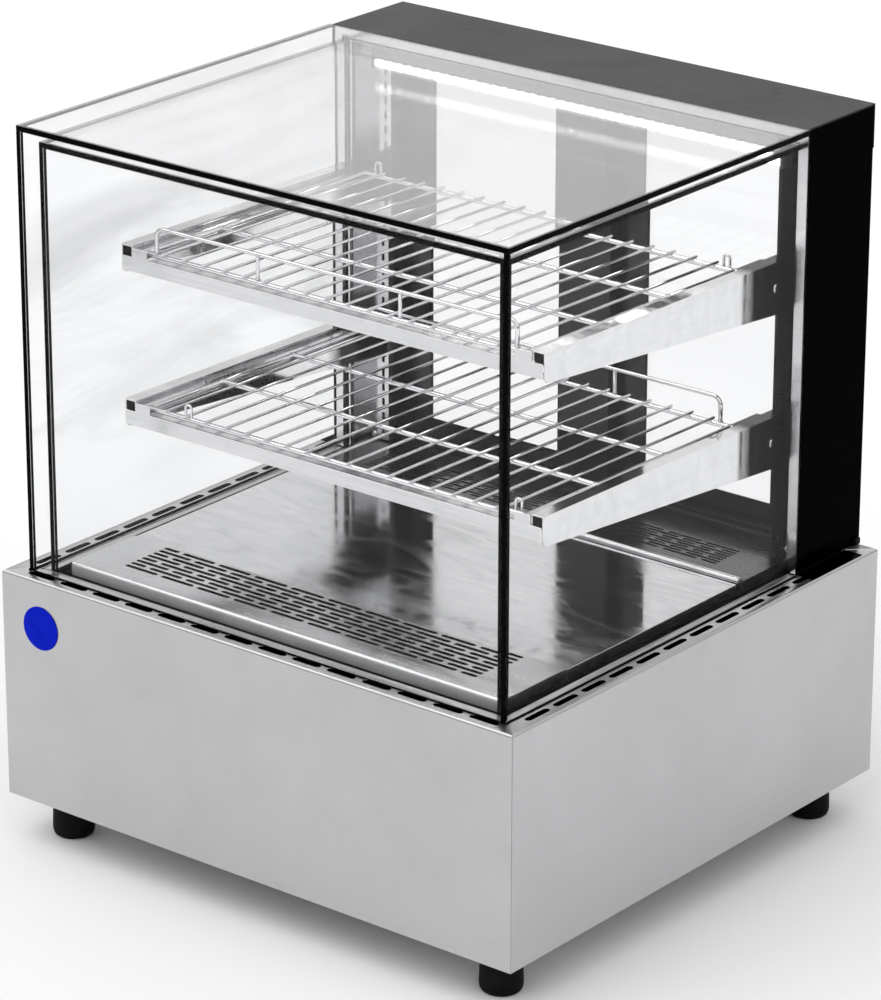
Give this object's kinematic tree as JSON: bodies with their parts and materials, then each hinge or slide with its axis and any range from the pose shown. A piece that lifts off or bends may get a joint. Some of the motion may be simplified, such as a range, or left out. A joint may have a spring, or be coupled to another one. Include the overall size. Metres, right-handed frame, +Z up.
{
  "type": "hot food display case",
  "caption": "Countertop heated display case: steel base on feet, double-glazed square cabinet, wire racks on arms, rear tower with sliding doors, lift-out deck over a fan-fed air pan.",
  "frame": {"origin": "on the floor under the middle of the object's bounding box", "axes": "+X to the viewer's right when facing the glass front, +Y towards the rear doors, +Z up"},
  "size_m": [0.6, 0.5636, 0.698],
  "materials": {
    "stainless_brushed": "satin, fine brushed grain",
    "stainless_polished": "near mirror polish",
    "chrome_wire": "bright plated wire",
    "black_gloss": "high gloss black",
    "tower_top_paint": "satin black, reads grey under a top light",
    "rubber_black": "matt",
    "plastic_black": "fine textured",
    "aluminium_track": "satin anodised",
    "light_diffuser": "opal, glows when lit",
    "key_white": "satin",
    "badge_blue": "gloss, blank",
    "rocker_green": "translucent green",
    "heater_steel": "heat-tinted",
    "glass_clear": "clear, polished edges"
  },
  "bodies": {
    "cabinet": {"base_front_panel": "stainless_brushed", "base_left_panel": "stainless_brushed", "base_right_panel": "stainless_brushed", "base_rear_panel": "stainless_brushed", "base_bottom_plate": "stainless_brushed", "deck_front_grille": "stainless_brushed", "deck_rear_grille": "stainless_brushed", "air_pan": "stainless_brushed", "tower_front_trim": "stainless_brushed", "pilaster_left": "stainless_brushed", "pilaster_right": "stainless_brushed", "upper_shelf_rail": "stainless_brushed", "lower_shelf_rail": "stainless_brushed", "upper_arm_left": "stainless_polished", "upper_arm_right": "stainless_polished", "lower_arm_left": "stainless_polished", "lower_arm_right": "stainless_polished", "tower_left_cover": "black_gloss", "tower_right_cover": "black_gloss", "control_plate": "black_gloss", "tower_top_cover": "tower_top_paint", "foot_front_left": "rubber_black", "foot_front_right": "rubber_black", "foot_rear_left": "rubber_black", "foot_rear_right": "rubber_black", "inner_glass_channel": "rubber_black", "fan_housing": "plastic_black", "thermostat": "plastic_black", "mains_inlet": "plastic_black", "door_track_lower": "aluminium_track", "door_track_upper": "aluminium_track", "led_housing": "aluminium_track", "led_diffuser": "light_diffuser", "maker_badge": "badge_blue", "heater_element": "heater_steel", "outer_glass_left": "glass_clear", "outer_glass_right": "glass_clear", "outer_glass_front": "glass_clear", "outer_glass_top": "glass_clear", "inner_glass_left": "glass_clear", "inner_glass_right": "glass_clear", "inner_glass_front": "glass_clear", "inner_glass_top": "glass_clear"},
    "door_left": {"door_left_frame": "black_gloss", "door_left_glass": "glass_clear", "door_left_handle": "plastic_black"},
    "door_right": {"door_right_frame": "black_gloss", "door_right_glass": "glass_clear", "door_right_handle": "plastic_black"},
    "upper_rack_group": {"upper_rack": "chrome_wire", "upper_guard_rail": "chrome_wire"},
    "lower_rack_group": {"lower_rack": "chrome_wire", "lower_guard_rail": "chrome_wire"},
    "deck_plate_lift": {"deck_plate": "stainless_polished"},
    "fan_rotor_group": {"fan_rotor": "plastic_black"},
    "power_switch": {"power_rocker": "rocker_green"},
    "light_switch": {"light_rocker": "plastic_black"},
    "key_up": {"thermostat_key_up": "key_white"},
    "key_down": {"thermostat_key_down": "key_white"}
  },
  "joints": [
    {"name": "door_left_slide", "type": "slide", "parent": "cabinet", "child": "door_left", "axis": [1, 0, 0], "range_m": [0, 0.24]},
    {"name": "door_right_slide", "type": "slide", "parent": "cabinet", "child": "door_right", "axis": [1, 0, 0], "range_m": [-0.24, 0]},
    {"name": "upper_rack_lift", "type": "slide", "parent": "cabinet", "child": "upper_rack_group", "axis": [0, 0, 1], "range_m": [0, 0.06]},
    {"name": "lower_rack_lift", "type": "slide", "parent": "cabinet", "child": "lower_rack_group", "axis": [0, 0, 1], "range_m": [0, 0.06]},
    {"name": "deck_plate_lift_out", "type": "slide", "parent": "cabinet", "child": "deck_plate_lift", "axis": [0, 0, 1], "range_m": [0, 0.06]},
    {"name": "fan_spin", "type": "hinge", "parent": "cabinet", "child": "fan_rotor_group", "pos_m": [0, -0.0306, 0.18095], "axis": [0, 0, 1], "continuous": true},
    {"name": "power_rock", "type": "hinge", "parent": "cabinet", "child": "power_switch", "pos_m": [-0.122, 0.2714, 0.202], "axis": [1, 0, 0], "range_deg": [-8, 8]},
    {"name": "light_rock", "type": "hinge", "parent": "cabinet", "child": "light_switch", "pos_m": [-0.08, 0.2714, 0.202], "axis": [1, 0, 0], "range_deg": [-8, 8]},
    {"name": "key_up_press", "type": "slide", "parent": "cabinet", "child": "key_up", "axis": [0, -1, 0], "range_m": [0, 0.001]},
    {"name": "key_down_press", "type": "slide", "parent": "cabinet", "child": "key_down", "axis": [0, -1, 0], "range_m": [0, 0.001]}
  ]
}
